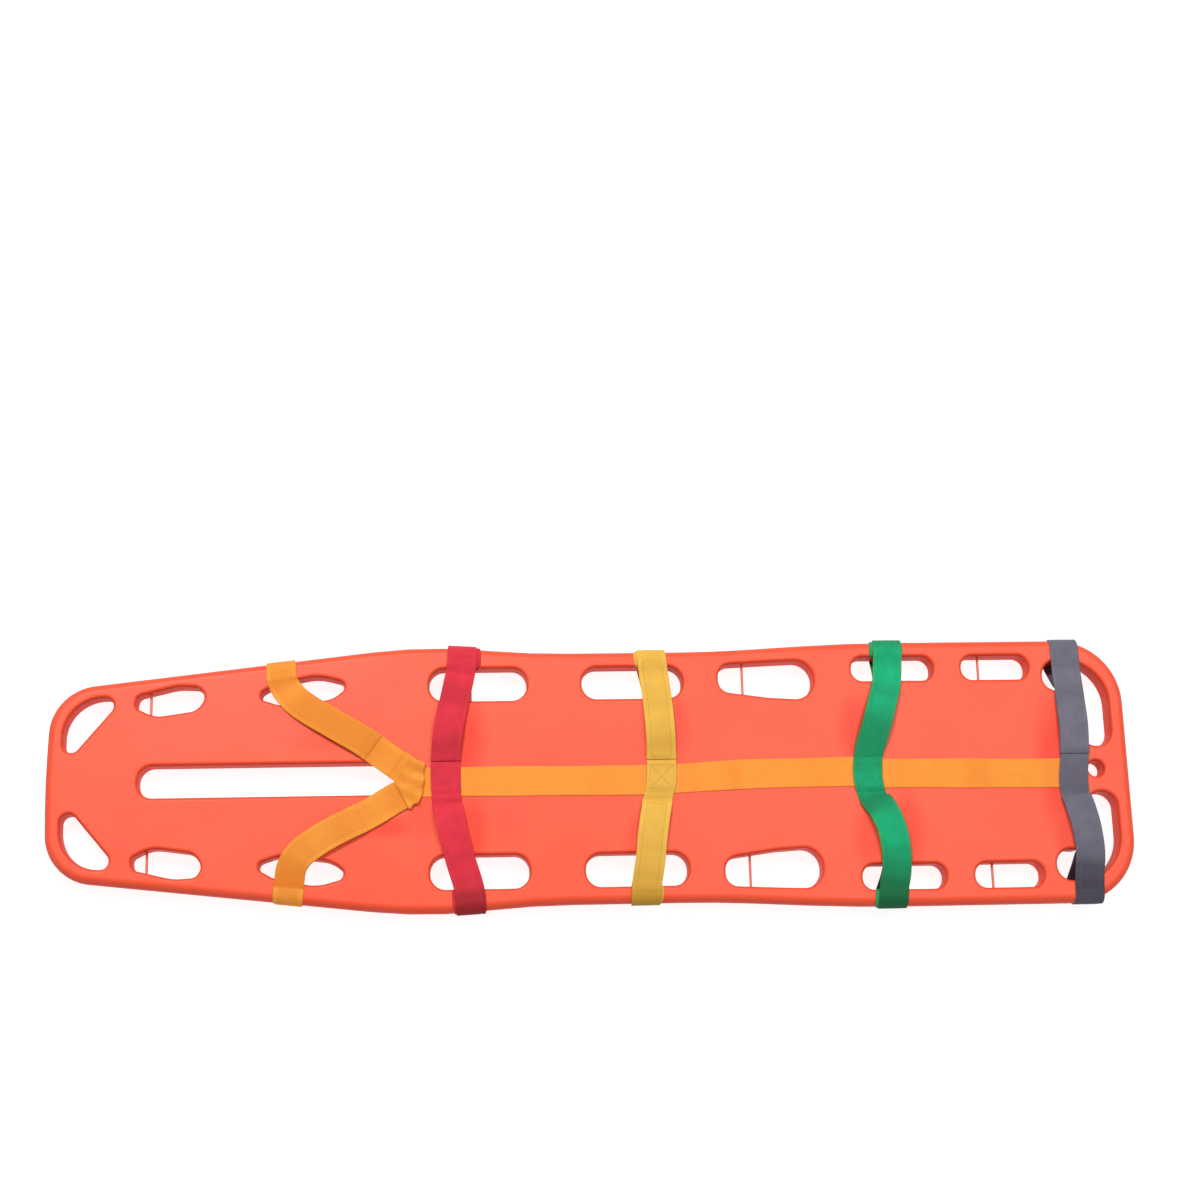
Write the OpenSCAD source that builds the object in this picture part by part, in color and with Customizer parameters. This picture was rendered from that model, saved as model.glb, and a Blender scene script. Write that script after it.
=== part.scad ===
// Spine board with a ten-point strap set.
// The board is one moulded shell round a foam core, with hand holes along both sides.
// X runs from the head (-) to the feet (+), Y across, Z up. Left is the patient's left, at +Y.
// The origin is under the middle of the board, on the floor.

/* [Board] */
// Length from head to foot
board_l = 1840; // [1810:5:1870]
// Greatest width, at the hips
board_w = 454; // [448:2:460]
// Thickness of the slab, without the runners
slab_t = 46; // [44:1:50]
// Height of the runners under the slab
runner_h = 8; // [7:1:12]
// Wall of the moulded shell
wall_t = 4; // [3:0.5:4.5]
// Radius of the rolled outer edge
edge_r = 16; // [14:1:17]
// Radius of the rounded mouths of the holes
mouth_r = 6; // [4:0.5:6]
// Diameter of the hanging hole
hang_d = 27; // [22:1:30]
// Diameter of the port that the foam was filled through
port_d = 20; // [14:1:24]

/* [Clip pins] */
// Diameter of the pins across the hand holes
pin_d = 4.5; // [4:0.5:8]
// How far a pin's end sits in the wall
pin_seat = 5; // [3:0.5:6]

/* [Strap set] */
// Width of the webbing
web_w = 50; // [44:1:50]
// Thickness of the webbing
web_t = 1.8; // [1.4:0.1:2]
// Width of the hook and loop patches
patch_w = 38; // [30:1:42]
// Thickness of one hook or loop patch
patch_t = 1.2; // [0.8:0.1:1.4]
// Y of the spine strap's centre line
spine_y = -7; // [-10:1:0]

/* [Hidden] */
kx = board_l / 1840;
ky = board_w / 454;
base = runner_h;                 // underside of the slab
deck = runner_h + slab_t;        // top of the slab
air = 0.3;                       // clearance between moving pieces
lay = air + web_t / 2;           // from a surface to the middle of the webbing round it
port_y = 0;
port_x = 0;
ends = ["left", "right"];
straps = ["shoulder", "chest", "hip", "thigh", "ankle"];
pin_rows = ["foot", "knee", "chest", "head"];

// Corners of the left half of the outline, from head to foot, each with its radius
side = [
    [-916, 158, 84], [-288, 230, 900], [-110, 214, 1500],
    [200, 214, 2000], [440, 227, 3000], [920, 227, 110]
];
head_bow = [-921, 0, 1500];

// Corners of the holes in the left half, counter-clockwise, each with its radius
head_handle = [[-893, 144, 66], [-893, 27, 14], [-795, 144, 14]];
hole_7 = [
    [-775, 126, 10], [-742, 110, 50], [-672, 120, 28], [-658, 142, 16],
    [-668, 160, 16], [-705, 162, 80], [-772, 146, 12]
];
hole_6 = [
    [-578, 142, 9], [-530, 126, 60], [-445, 137, 50],
    [-413, 163, 11], [-470, 178, 80], [-540, 164, 60]
];
hole_5 = [[-282, 131, 26], [-116, 131, 26], [-116, 187, 26], [-282, 187, 26]];
hole_4 = [[-22, 132, 26], [151, 132, 26], [151, 187, 26], [-22, 187, 26]];
hole_3 = [[213, 143, 22], [300, 131, 90], [378, 126, 32], [378, 196, 32], [300, 193, 90], [213, 189, 22]];
hole_2 = [[445, 158, 20], [588, 158, 20], [588, 200, 20], [445, 200, 20]];
hole_1 = [[638, 158, 20], [756, 158, 20], [756, 200, 20], [638, 200, 20]];
foot_handle = [
    [780, 135, 24], [850, 143, 33], [838, 40, 24],
    [893, 40, 26], [893, 190, 76], [780, 190, 26]
];
side_holes = [head_handle, hole_7, hole_6, hole_5, hole_4, hole_3, hole_2, hole_1, foot_handle];
centre_slot = [[-768, -27, 25], [-298, -27, 25], [-298, 27, 25], [-768, 27, 25]];
hang_x = 861;
runner = [[-620, 62, 14], [600, 62, 14], [600, 100, 14], [-620, 100, 14]];

// Rows of pins: [X, inner wall, outer wall] of the hole at the pin
pins = [[672, 158, 200], [257, 137, 191.2], [-212, 131, 187], [-751, 114.5, 151]];

// Middle lines of the straps as [X, Y] from the left edge to the right edge
chest_line = [
    [-225, 224], [-227, 190], [-234, 155], [-243, 115], [-250, 80], [-254, 40], [-255, 0],
    [-253, -40], [-245, -85], [-231, -140], [-217, -188], [-214, -224]
];
hip_line = [
    [98, 214], [100, 187], [104, 150], [108, 105], [110, 60], [110, 20], [108, -18],
    [101, -45], [92, -95], [86, -145], [79, -187], [77, -214]
];
thigh_line = [
    [510, 227], [509, 201], [503, 150], [491, 110], [478, 70], [466, 32], [462, 0],
    [463, -20], [469, -42], [484, -66], [497, -98], [503, -135], [502, -170], [496, -201], [494, -227]
];
ankle_line = [
    [820, 227], [821, 192], [823, 130], [825, 60], [823, 20], [818, -15], [819, -40],
    [826, -68], [834, -105], [837, -150], [832, -192], [831, -227]
];
shoulder_line_l = [
    [-533, 202], [-529, 167], [-512, 141], [-490, 122], [-440, 91], [-390, 61], [-340, 25], [-294, -6]
];
shoulder_line_r = [
    [-296, -13], [-338, -33], [-380, -58], [-422, -79], [-462, -100],
    [-496, -124], [-510, -146], [-514, -170], [-517, -203]
];

// Each strap: [line, way round its rail, Y of the tails' ends]
// A way is [outer edge, where it turns under the slab, where it leaves the deck, width there,
// shift in X there, slope of the rail's outer edge]
cross_ways = [
    [224, 187, 131, 32, -6, -0.06], [214, 187, 132, 46, 0, 0],
    [227, 200, 158, 46, 0, 0], [227, 183, 142, 40, -6, 0]
];
cross_lines = [chest_line, hip_line, thigh_line, ankle_line];
shoulder_way_l = [202, 154, 147, 32, 0, 0.115];
shoulder_way_r = [204, 157, 150, 36, 0, 0.115];
tail_stop_left = [52, 38, 36, 36, 36];
tail_stop_right = [-66, -46, -46, -46, -46];

shell_orange = [1.0, 0.45, 0.33];
foam_cream = [0.93, 0.89, 0.75];
pin_orange = [0.86, 0.36, 0.2];
web_colours = [[1.0, 0.64, 0.27], [0.88, 0.22, 0.27], [0.96, 0.72, 0.29], [0.08, 0.65, 0.37], [0.43, 0.42, 0.49]];
knuckle_d = web_t + 0.3;         // round root of a tail, on its hinge line
hinge_z = deck + air + knuckle_d / 2;
stack_z = deck + web_t + 2 * patch_t + air + web_t / 2;

function unit(v) = v / norm(v);
function flat3(p, z) = [p[0], p[1], z];
function mirrored(c) = [for (i = [len(c) - 1:-1:0]) [c[i][0], -c[i][1], c[i][2]]];

// Points of one rounded corner b between a and c, moved outwards by d
function corner(a, b, c, d) =
    let (
        p = [b[0], b[1]],
        u = unit([a[0], a[1]] - p),
        v = unit([c[0], c[1]] - p),
        turn = u[1] * v[0] - u[0] * v[1],
        half = acos(u * v) / 2,
        mid = p + unit(u + v) * b[2] / sin(half),
        s = unit(p + u * b[2] / tan(half) - mid),
        e = unit(p + v * b[2] / tan(half) - mid),
        open = 180 - 2 * half,
        steps = max(2, ceil(open / 15)),
        r = b[2] + (turn < 0 ? -d : d)
    )
    [for (k = [0:steps]) mid + r * (s * sin(open * (1 - k / steps)) + e * sin(open * k / steps)) / sin(open)];

// A counter-clockwise polygon with rounded corners, grown by d
function rounded(c, d = 0) =
    let (n = len(c))
    [for (i = [0:n - 1]) each corner(c[(i + n - 1) % n], c[i], c[(i + 1) % n], d)];

function board_corners() = concat(
    [for (p = side) [p[0], -p[1], p[2]]],
    [for (i = [len(side) - 1:-1:0]) side[i]],
    [head_bow]
);

// Levels [z, inset] of a body between z0 and z1 whose edges are rounded to radius r
function levels(z0, z1, r, steps) = concat(
    [for (k = [0:steps]) let (a = 90 * k / steps) [z0 + r * (1 - cos(a)), r * (1 - sin(a))]],
    [for (k = [steps:-1:0]) let (a = 90 * k / steps) [z1 - r * (1 - cos(a)), r * (1 - sin(a))]]
);

// A closed skin over rings with the same number of points
module loft(rings) {
    n = len(rings[0]);
    m = len(rings);
    polyhedron(
        points = [for (r = rings) each r],
        faces = concat(
            [[for (i = [0:n - 1]) i]],
            [[for (i = [n - 1:-1:0]) (m - 1) * n + i]],
            [for (k = [0:m - 2], i = [0:n - 1])
                each [[k * n + i, (k + 1) * n + i, (k + 1) * n + (i + 1) % n],
                      [k * n + i, (k + 1) * n + (i + 1) % n, k * n + (i + 1) % n]]]
        )
    );
}

module slab(inset, z0, z1, r, steps) {
    loft([for (l = levels(z0, z1, r, steps)) [for (p = rounded(board_corners(), -inset - l[1])) flat3(p, l[0])]]);
}

// The space of a hole with rounded mouths above and below
module hole(c) {
    l = levels(base, deck, mouth_r, 2);
    over = concat([[base - 1, mouth_r]], l, [[deck + 1, mouth_r]]);
    loft([for (q = over) [for (p = rounded(c, q[1])) flat3(p, q[0])]]);
}

module hole_walls(c) {
    translate([0, 0, base - 1]) linear_extrude(slab_t + 2) polygon(rounded(c, mouth_r + 0.5));
}

module hang_hole() {
    r = hang_d / 2;
    translate([hang_x * kx, 0, 0]) {
        translate([0, 0, base - 1]) cylinder(r = r, h = slab_t + 2, $fn = 64);
        for (q = [[base - 1, base + mouth_r * 0.6, 1], [deck + 1, deck - mouth_r * 0.6, 0]])
            rotate_extrude($fn = 64)
                polygon([[0, q[0]], [r + mouth_r * 0.6 + 1, q[0]], [r, q[1]], [0, q[1]]]);
    }
}

module pin_rod(row, side_y, length_in) {
    p = pins[row];
    lo = p[1] * ky - length_in;
    hi = p[2] * ky + length_in;
    translate([p[0] * kx, side_y > 0 ? hi : -lo, (base + deck) / 2])
        rotate([90, 0, 0]) cylinder(d = pin_d, h = hi - lo, $fn = 32);
}

// The cavity in the shell, which the foam fills
module core_shape() {
    resize([board_l - 2 * wall_t, board_w - 2 * wall_t, 0]) difference() {
        slab(wall_t, base + wall_t, deck - wall_t, edge_r - wall_t, 2);
        for (c = side_holes) {
            hole_walls(c);
            hole_walls(mirrored(c));
        }
        hole_walls(centre_slot);
        translate([hang_x, 0, base - 1]) cylinder(r = hang_d / 2 + mouth_r + 0.5, h = slab_t + 2, $fn = 48);
    }
}

// The outside of the board with its holes, drawn for a board of 1840 by 454 and fitted to its size
module skin_shape() {
    resize([board_l, board_w, 0]) difference() {
        union() {
            slab(0, base, deck, edge_r, 4);
            for (c = [runner, mirrored(runner)]) linear_extrude(runner_h + 1) polygon(rounded(c));
        }
        for (c = side_holes) {
            hole(c);
            hole(mirrored(c));
        }
        hole(centre_slot);
    }
}

module board_shell() {
    color(shell_orange) difference() {
        skin_shape();
        core_shape();
        hang_hole();
        for (row = [0:3], s = [1, -1]) pin_rod(row, s, pin_seat);
        translate([port_x, port_y, base - 1]) cylinder(d = port_d, h = wall_t + 1, $fn = 48);
    }
}

module foam_core() {
    color(foam_cream) core_shape();
}

module fill_plug() {
    color(pin_orange) translate([port_x, port_y, 0]) {
        translate([0, 0, base]) cylinder(d = port_d, h = wall_t, $fn = 48);
        translate([0, 0, base - 2]) cylinder(d = port_d + 10, h = 2, $fn = 48);
    }
}

module clip_pin(row, s) {
    color(pin_orange) pin_rod(row, s, pin_seat);
}

// Slope and X of a strap's middle line at a given Y; its points run towards -Y
function rise(p, i) = let (a = max(i - 1, 0), b = min(i + 1, len(p) - 1)) (p[b][0] - p[a][0]) / (p[b][1] - p[a][1]);
function span(p, y, i = 0) = (i >= len(p) - 2 || y >= p[i + 1][1]) ? i : span(p, y, i + 1);
function clamp(y, p) = min(max(y, p[len(p) - 1][1]), p[0][1]);
function line_x(p, y) =
    let (
        c = clamp(y, p),
        i = span(p, c),
        h = p[i + 1][1] - p[i][1],
        t = (c - p[i][1]) / h,
        m = rise(p, i) * h,
        n = rise(p, i + 1) * h,
        w = p[i + 1][0] - p[i][0]
    )
    p[i][0] + m * t + (3 * w - 2 * m - n) * t * t + (m + n - 2 * w) * t * t * t;
function line_slope(p, y) = let (c = clamp(y, p), a = min(c + 1, p[0][1]), b = max(c - 1, p[len(p) - 1][1])) (line_x(p, a) - line_x(p, b)) / (a - b);

// A station of a band: [centre, direction across, width]; it lies square to its line unless it has a tilt
function station(p, y, z, w, dx = 0, tilt = undef) =
    let (a = is_undef(tilt) ? -line_slope(p, y) : tilt)
    [[(line_x(p, y) + dx) * kx, y * ky, z], unit([1, a, 0]), w];

// A flat band of thickness t through its stations
module band(st, t) {
    n = len(st);
    way = [for (i = [0:n - 1]) unit(st[min(i + 1, n - 1)][0] - st[max(i - 1, 0)][0])];
    points = [for (i = [0:n - 1])
        let (c = st[i][0], a = st[i][1] * st[i][2] / 2, b = unit(cross(way[i], st[i][1])) * t / 2)
        each [c - a - b, c + a - b, c + a + b, c - a + b]];
    faces = concat(
        [[0, 1, 2, 3]],
        [for (k = [0:n - 2], j = [0:3]) let (q = (j + 1) % 4)
            each [[4 * k + q, 4 * k + j, 4 * k + 4 + j], [4 * k + q, 4 * k + 4 + j, 4 * k + 4 + q]]],
        [[4 * n - 1, 4 * n - 2, 4 * n - 3, 4 * n - 4]]
    );
    polyhedron(points, faces);
}

// From the hinge line down, under the rail and up through the hole: [distance from the middle, z, width, shift]
function rail_way(w) =
    let (e = w[0], r = edge_r + lay)
    concat(
        [[e + lay, hinge_z - knuckle_d / 2 - air, web_w, 0], [e + lay, base + edge_r, web_w, 0]],
        [for (a = [18:18:72]) [e - edge_r + r * cos(a), base + edge_r - r * sin(a), web_w, 0]],
        [
            [e - edge_r, base - lay, web_w, 0],
            [w[1] + 6, base - lay, w[3], w[4]],
            [w[1] + 1, base - lay / 2, w[3], w[4]],
            [w[1] - 2.5, base + 4, w[3], w[4]],
            [w[2] + 2, deck - 3, w[3], w[4]],
            [w[2] - 3, deck + 1, w[3], w[4] / 2]
        ]
    );

// The stations of that way, which lie along the rail
function wrap(p, w, s) = [for (q = rail_way(w)) station(p, s * q[0], q[1], q[2], q[3], s * w[5])];

// How far a cross strap is lifted by the spine strap under it
function lift(y) =
    lookup(y, [[spine_y - 39.5, 0], [spine_y - 34.5, 1], [spine_y + 31, 1], [spine_y + 37, 0]]) * web_t;

module cross_strap(i) {
    p = cross_lines[i];
    w = cross_ways[i];
    right = wrap(p, w, -1);
    top = w[2] - 12;
    color(web_colours[i + 1]) band(concat(
        wrap(p, w, 1),
        [for (y = [top:-6:-top]) station(p, y, deck + lift(y) + web_t / 2, web_w)],
        [for (k = [len(right) - 1:-1:0]) right[k]]
    ), web_t);
}

// The straps over the shoulders end on the spine strap, the right one on top
module shoulder_strap_left() {
    p = shoulder_line_l;
    color(web_colours[0]) band(concat(
        wrap(p, shoulder_way_l, 1),
        [for (y = [130:-6:-6]) station(p, y, deck + lookup(y, [[38, 1], [54, 0]]) * web_t + web_t / 2, web_w)]
    ), web_t);
}

module shoulder_strap_right() {
    p = shoulder_line_r;
    color(web_colours[0]) band(concat(
        wrap(p, shoulder_way_r, -1),
        [for (y = [-132:7:-13]) station(p, y, deck + lookup(y, [[-66, 0], [-50, 2]]) * web_t + web_t / 2, web_w)]
    ), web_t);
}

module spine_strap() {
    x0 = -336 * kx;
    x1 = (819 + web_w / 2) * kx;
    color(web_colours[0]) translate([x0, spine_y * ky - web_w / 2, deck])
        cube([x1 - x0, web_w, web_t]);
}

// Line, way and tail end of strap number i at the given side
function end_line(i, s) = i > 0 ? cross_lines[i - 1] : (s > 0 ? shoulder_line_l : shoulder_line_r);
function end_way(i, s) = i > 0 ? cross_ways[i - 1] : (s > 0 ? shoulder_way_l : shoulder_way_r);
function end_stop(i, s) = s > 0 ? tail_stop_left[i] : -tail_stop_right[i];

// Where a tail has its full stack of webbing and patches under it
function full_at(i, s) = end_way(i, s)[2] - (i > 0 ? 12 : 24);

module tail(i, s) {
    p = end_line(i, s);
    w = end_way(i, s);
    e = w[0] + lay;
    f = full_at(i, s);
    stop = end_stop(i, s);
    color(web_colours[i]) {
        band(concat(
            [for (d = [e, w[0] - edge_r]) station(p, s * d, hinge_z, web_w, 0, s * w[5])],
            [station(p, s * (i > 0 ? w[1] : w[1] + 16), hinge_z, web_w)],
            [for (k = [0:12]) station(p, s * (f + (stop - f) * k / 12), stack_z, web_w)]
        ), web_t);
        translate([line_x(p, s * e) * kx, s * e * ky, hinge_z])
            rotate([0, 90, atan(s * w[5])])
                cylinder(d = knuckle_d, h = web_w, center = true, $fn = 24);
    }
}

module patch(i, s, z) {
    f = full_at(i, s) - 2;
    stop = end_stop(i, s) + 4;
    band([for (k = [0:12]) station(end_line(i, s), s * (f + (stop - f) * k / 12), z, patch_w)], patch_t);
}

module hook(i, s) {
    color([0.16, 0.16, 0.17]) patch(i, s, stack_z - web_t / 2 - patch_t / 2);
}

module loop(i, s) {
    color(web_colours[i] * 0.8) patch(i, s, deck + web_t + patch_t / 2);
}

board_shell();
foam_core();
fill_plug();
for (row = [0:3], k = [0, 1]) {
    clip_pin(row, 1 - 2 * k);
}
spine_strap();
shoulder_strap_left();
shoulder_strap_right();
for (i = [1:4]) {
    cross_strap(i - 1);
}
for (i = [0:4], k = [0, 1]) {
    tail(i, 1 - 2 * k);
    hook(i, 1 - 2 * k);
    loop(i, 1 - 2 * k);
}
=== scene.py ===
"""A moulded spine board with its ten-point webbing strap set."""
import math
from collections import namedtuple

import bpy
from mathutils import Matrix, Vector
from mathutils.geometry import delaunay_2d_cdt


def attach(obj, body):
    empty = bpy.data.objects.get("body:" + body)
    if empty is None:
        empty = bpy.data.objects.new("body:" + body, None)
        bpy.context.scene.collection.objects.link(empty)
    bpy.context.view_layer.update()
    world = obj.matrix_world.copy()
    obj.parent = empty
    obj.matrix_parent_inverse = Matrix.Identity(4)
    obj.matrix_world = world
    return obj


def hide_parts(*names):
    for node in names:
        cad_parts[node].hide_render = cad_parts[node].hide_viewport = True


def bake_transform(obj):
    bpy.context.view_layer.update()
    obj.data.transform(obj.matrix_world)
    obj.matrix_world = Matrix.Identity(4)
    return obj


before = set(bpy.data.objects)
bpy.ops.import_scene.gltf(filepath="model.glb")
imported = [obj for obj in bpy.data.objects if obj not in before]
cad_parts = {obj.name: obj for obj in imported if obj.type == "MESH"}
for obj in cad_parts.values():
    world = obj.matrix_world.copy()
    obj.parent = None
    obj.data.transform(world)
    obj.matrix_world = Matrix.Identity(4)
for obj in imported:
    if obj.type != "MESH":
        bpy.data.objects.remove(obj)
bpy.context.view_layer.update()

MM = 0.001          # lengths below are in millimetres, X from head to foot, Y to the left
BASE = 8.0          # underside of the slab, above the runners
DECK = 54.0         # top of the slab
WEB_W = 50.0        # webbing, wide
WEB_T = 1.8         # and thick
PATCH_T = 1.2       # thickness of the hook and loop tapes
AIR = 0.3           # play between the webbing and the board
EDGE_R = 16.0       # height of the roll along the slab's edge
EDGE_IN = 13.5      # how far the edge's roll reaches in from the outline
MOUTH_R = 7.0       # the same for the rounded mouths of the holes
MOUTH_IN = 6.0
KNUCKLE = WEB_T + 0.3   # thickness of a tail where it hinges
PATCH_W = 38.0      # width of the hook and loop tapes
ROW = 17.0          # how far a tail's rows of stitches lie from its middle line
BOX_ROW = 20.0      # the same for the sewn boxes
YARN = 2.0          # drawn distance between the webbing's yarns
STEP = 3.0          # distance between the stations of a band
DECK_STEP = 2.0     # the same where a strap lies across the deck
TURN_STEP = 5.0     # degrees between the points of a round corner
HINGE_Z = DECK + AIR + KNUCKLE / 2
STACK_Z = DECK + WEB_T + 2 * PATCH_T + AIR + WEB_T / 2      # middle of a tail on its strap and tapes
LAY = AIR + WEB_T / 2                                       # middle of webbing that lies on the board

# Corners of the left half of the outline, head to foot: [X, Y, radius]
SIDE = [
    (-916, 158, 84), (-288, 230, 900), (-110, 214, 1500),
    (200, 214, 2000), (440, 227, 3000), (920, 227, 110),
]
HEAD_BOW = (-921, 0, 1500)

# Corners of the holes in the left half, counter-clockwise
HOLES = {
    "head handle": [(-893, 144, 66), (-893, 27, 14), (-795, 144, 14)],
    "hole 7": [(-775, 126, 10), (-742, 110, 50), (-672, 120, 28), (-658, 142, 16),
               (-668, 160, 16), (-705, 162, 80), (-772, 146, 12)],
    "hole 6": [(-578, 142, 9), (-530, 126, 60), (-445, 137, 50),
               (-413, 163, 11), (-470, 178, 80), (-540, 164, 60)],
    "hole 5": [(-282, 131, 26), (-116, 131, 26), (-116, 187, 26), (-282, 187, 26)],
    "hole 4": [(-22, 132, 26), (151, 132, 26), (151, 187, 26), (-22, 187, 26)],
    "hole 3": [(213, 143, 22), (300, 131, 90), (378, 126, 32),
               (378, 196, 32), (300, 193, 90), (213, 189, 22)],
    "hole 2": [(445, 158, 20), (588, 158, 20), (588, 200, 20), (445, 200, 20)],
    "hole 1": [(638, 158, 20), (756, 158, 20), (756, 200, 20), (638, 200, 20)],
    "foot handle": [(780, 135, 24), (850, 143, 33), (838, 40, 24),
                    (893, 40, 26), (893, 190, 76), (780, 190, 26)],
}
CENTRE_SLOT = [(-768, -27, 25), (-298, -27, 25), (-298, 27, 25), (-768, 27, 25)]
HANG_X = 861
HANG_R = 13.5
RUNNER = [(-620, 62, 14), (600, 62, 14), (600, 100, 14), (-620, 100, 14)]

# Middle lines of the straps as (X, Y), from the left edge to the right edge
LINES = {
    "chest": [(-225, 224), (-227, 190), (-234, 155), (-243, 115), (-250, 80), (-254, 40), (-255, 0),
              (-253, -40), (-245, -85), (-231, -140), (-217, -188), (-214, -224)],
    "hip": [(98, 214), (100, 187), (104, 150), (108, 105), (110, 60), (110, 20), (108, -18),
            (101, -45), (92, -95), (86, -145), (79, -187), (77, -214)],
    "thigh": [(510, 227), (509, 201), (503, 150), (491, 110), (478, 70), (466, 32), (462, 0),
              (463, -20), (469, -42), (484, -66), (497, -98), (503, -135), (502, -170), (496, -201),
              (494, -227)],
    "ankle": [(820, 227), (821, 192), (823, 130), (825, 60), (823, 20), (818, -15), (819, -40),
              (826, -68), (834, -105), (837, -150), (832, -192), (831, -227)],
}
SHOULDER_LEFT = [(-533, 202), (-529, 167), (-512, 141), (-490, 122), (-440, 91), (-390, 61), (-340, 25),
                 (-294, -6)]
SHOULDER_RIGHT = [(-296, -13), (-338, -33), (-380, -58), (-422, -79), (-462, -100), (-496, -124),
                  (-510, -146), (-514, -170), (-517, -203)]

# The spine strap wanders a little: (X, Y) of its middle line
SPINE = [(-225, -7.5), (70, -9), (300, -1), (440, 0), (500, -4), (795, -7.5)]

# How a strap goes round its rail: how far out the rail's edge is, where the strap turns up into its hole
# and where it reaches the deck, its width in the hole, its shift in X there, and the slope of the rail
Way = namedtuple("Way", "edge turn mouth width shift lean")
WAYS = {
    "chest": Way(224, 187, 131, 32, -6, -0.06),
    "hip": Way(214, 187, 132, 46, 0, 0),
    "thigh": Way(227, 200, 158, 46, 0, 0),
    "ankle": Way(227, 183, 142, 40, -6, 0),
    "shoulder left": Way(202, 154, 147, 32, 0, 0.115),
    "shoulder right": Way(204, 157, 150, 36, 0, 0.115),
}
# How far from the board's middle the tails end, left and right
TAIL_ENDS = {
    "shoulder": (52, 66), "chest": (28, 46), "hip": (26, 46), "thigh": (26, 46), "ankle": (26, 46),
}
# How high each loose strap arches off the deck on its way out to the rail
HUMPS = {
    "chest": 5.0, "hip": 3.5, "thigh": 5.5, "ankle": 3.0, "shoulder left": 4.0, "shoulder right": 4.5,
}
# Straps whose first turn shows beside the second on top of the rail: shift of the first turn in X
FIRST_TURNS = {
    ("chest", 1): 7, ("chest", -1): -5,
    ("hip", 1): -6, ("hip", -1): 4,
    ("thigh", 1): -7, ("thigh", -1): -6,
}
# How much painted shade deepens the webbing's colour where it creases, arches and turns round the rails:
# (Y, share)
STRAP_SHADE = {
    "chest": [(185, 0), (140, 0.35), (110, 0.12), (80, 0.2), (48, 0.4), (15, 0.15), (-30, 0.05), (-60, 0),
              (-145, 0), (-175, 0.25), (-200, 0.75), (-224, 1)],
    "hip": [(170, 0), (140, 0.15), (110, 0), (80, 0.2), (45, 0.45), (20, 0.2), (-10, 0.1), (-30, 0.25),
            (-55, 0), (-115, 0), (-145, 0.2), (-175, 0.5), (-200, 0.85), (-214, 1)],
    "thigh": [(227, 0.5), (205, 0), (140, 0), (110, 0.2), (80, 0.5), (40, 0.55), (10, 0.35), (-10, 0.2),
              (-30, 0.3), (-50, 0.6), (-80, 0.1), (-115, 0), (-140, 0.35), (-170, 0.6), (-195, 0.9),
              (-227, 1)],
    "ankle": [(50, 0), (20, 0.3), (-30, 0.4), (-50, 0.2), (-85, 0.05), (-125, 0.1), (-145, 0.3),
              (-170, 0.85), (-200, 1), (-227, 0.8)],
    "shoulder": [(175, 0), (171, 0.6), (146, 0.05), (125, 0.5), (61, 0.5), (30, 0.15), (10, 0.6),
                 (-30, 0.4), (-50, 0), (-80, 0.3), (-100, 0), (-124, 0.1), (-146, 0.6), (-178, 1),
                 (-182, 0.1)],
}
# Painted shadows of the straps on the deck beside them, deeper in colour: X, Y, reach in X, reach in Y,
# depth
STRAP_SHADOWS = [
    (-228, 70, 56, 120, 1.0), (-214, -90, 40, 90, 0.8), (-290, -60, 40, 60, 0.4), (-360, -82, 80, 26, 0.7),
    (448, 70, 44, 90, 0.8), (526, -100, 40, 90, 0.7), (462, -110, 40, 80, 0.6), (792, 10, 46, 160, 1.0),
    (140, 80, 30, 80, 0.5), (62, -130, 30, 80, 0.4), (-470, 65, 70, 26, 0.3), (800, -110, 30, 60, 0.7),
]
# Ends in Y of the sewn box where each cross strap meets the spine strap
BOXES = {"chest": (20, -26), "hip": (19, -28), "thigh": (17, -32), "ankle": (16, -32)}


# ---- plan shapes -------------------------------------------------------------------------------

def corner(a, b, c, grow):
    """Points of one rounded corner b between a and c, each with the outward direction there."""
    p = Vector(b[:2])
    u = (Vector(a[:2]) - p).normalized()
    v = (Vector(c[:2]) - p).normalized()
    turn = u.y * v.x - u.x * v.y
    half = math.acos(max(-1.0, min(1.0, u.dot(v)))) / 2
    mid = p + (u + v).normalized() * b[2] / math.sin(half)
    s = (p + u * b[2] / math.tan(half) - mid).normalized()
    e = (p + v * b[2] / math.tan(half) - mid).normalized()
    opening = math.pi - 2 * half
    steps = max(2, math.ceil(math.degrees(opening) / TURN_STEP))
    r = b[2] + (-grow if turn < 0 else grow)
    out = []
    for k in range(steps + 1):
        t = k / steps
        d = (s * math.sin(opening * (1 - t)) + e * math.sin(opening * t)) / math.sin(opening)
        out.append((mid + r * d, -d if turn < 0 else d))
    return out


def rounded(corners, grow):
    """A counter-clockwise rounded polygon grown by some millimetres."""
    n = len(corners)
    out = []
    for i in range(n):
        out += corner(corners[i - 1], corners[i], corners[(i + 1) % n], grow)
    return out


def mirrored(corners):
    """The same corners in the board's right half, still counter-clockwise."""
    return [(x, -y, r) for x, y, r in reversed(corners)]


def circle(x, r):
    """A circle on the board's middle line, with the outward direction at each point."""
    count = round(360 / TURN_STEP)
    outward = [Vector((math.cos(a), math.sin(a))) for a in (2 * math.pi * k / count for k in range(count))]
    return [(Vector((x, 0)) + r * d, d) for d in outward]


# ---- meshes ------------------------------------------------------------------------------------

def put(name, mesh):
    """Makes the object of a mesh and adds it to the scene."""
    thing = bpy.data.objects.new(name.replace(" ", "_"), mesh)
    bpy.context.collection.objects.link(thing)
    return thing


def inside(loop, spot):
    """Whether a spot lies within a closed loop, seen from above."""
    odd = False
    for a, b in zip(loop, loop[1:] + loop[:1]):
        crosses = (a.y > spot.y) != (b.y > spot.y)
        if crosses and spot.x < a.x + (spot.y - a.y) * (b.x - a.x) / (b.y - a.y):
            odd = not odd
    return odd


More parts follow.
